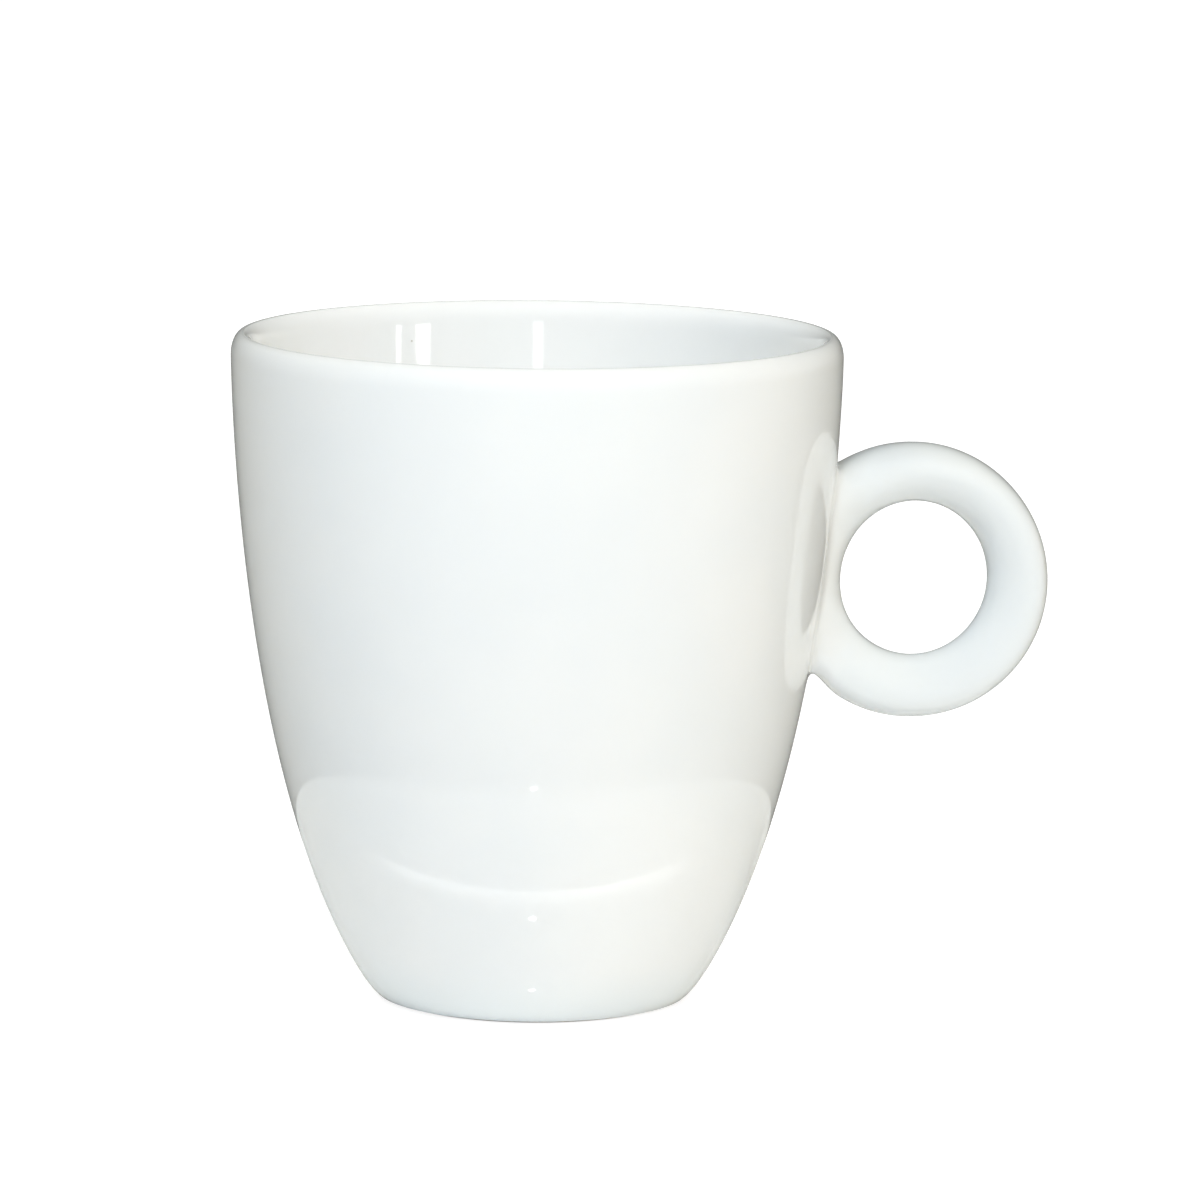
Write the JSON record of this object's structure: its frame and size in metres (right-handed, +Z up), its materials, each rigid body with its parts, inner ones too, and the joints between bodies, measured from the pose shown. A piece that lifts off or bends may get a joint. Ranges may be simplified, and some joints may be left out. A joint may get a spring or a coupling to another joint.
{
  "type": "mug",
  "caption": "Plain white glazed porcelain mug with a tapering round body, a soft lip and a ring-shaped one-finger handle.",
  "frame": {"origin": "on the cup's axis, in the plane of the foot ring that the mug stands on", "axes": "+Z up along the cup's axis, +X from the cup's axis towards the ring handle, and the XZ plane cuts the cup and the ring in half"},
  "size_m": [0.1104, 0.082, 0.09],
  "materials": {
    "bisque": "fired unglazed porcelain, ground smooth, matt",
    "slip": "fired porcelain slip, matt",
    "glaze": "clear gloss glaze on white porcelain"
  },
  "bodies": {
    "root": {"cup_body": "bisque", "handle_ring": "bisque", "luting_slip": "slip", "outer_glaze": "glaze", "inner_glaze": "glaze", "handle_glaze": "glaze", "underside_glaze": "glaze"}
  },
  "joints": []
}
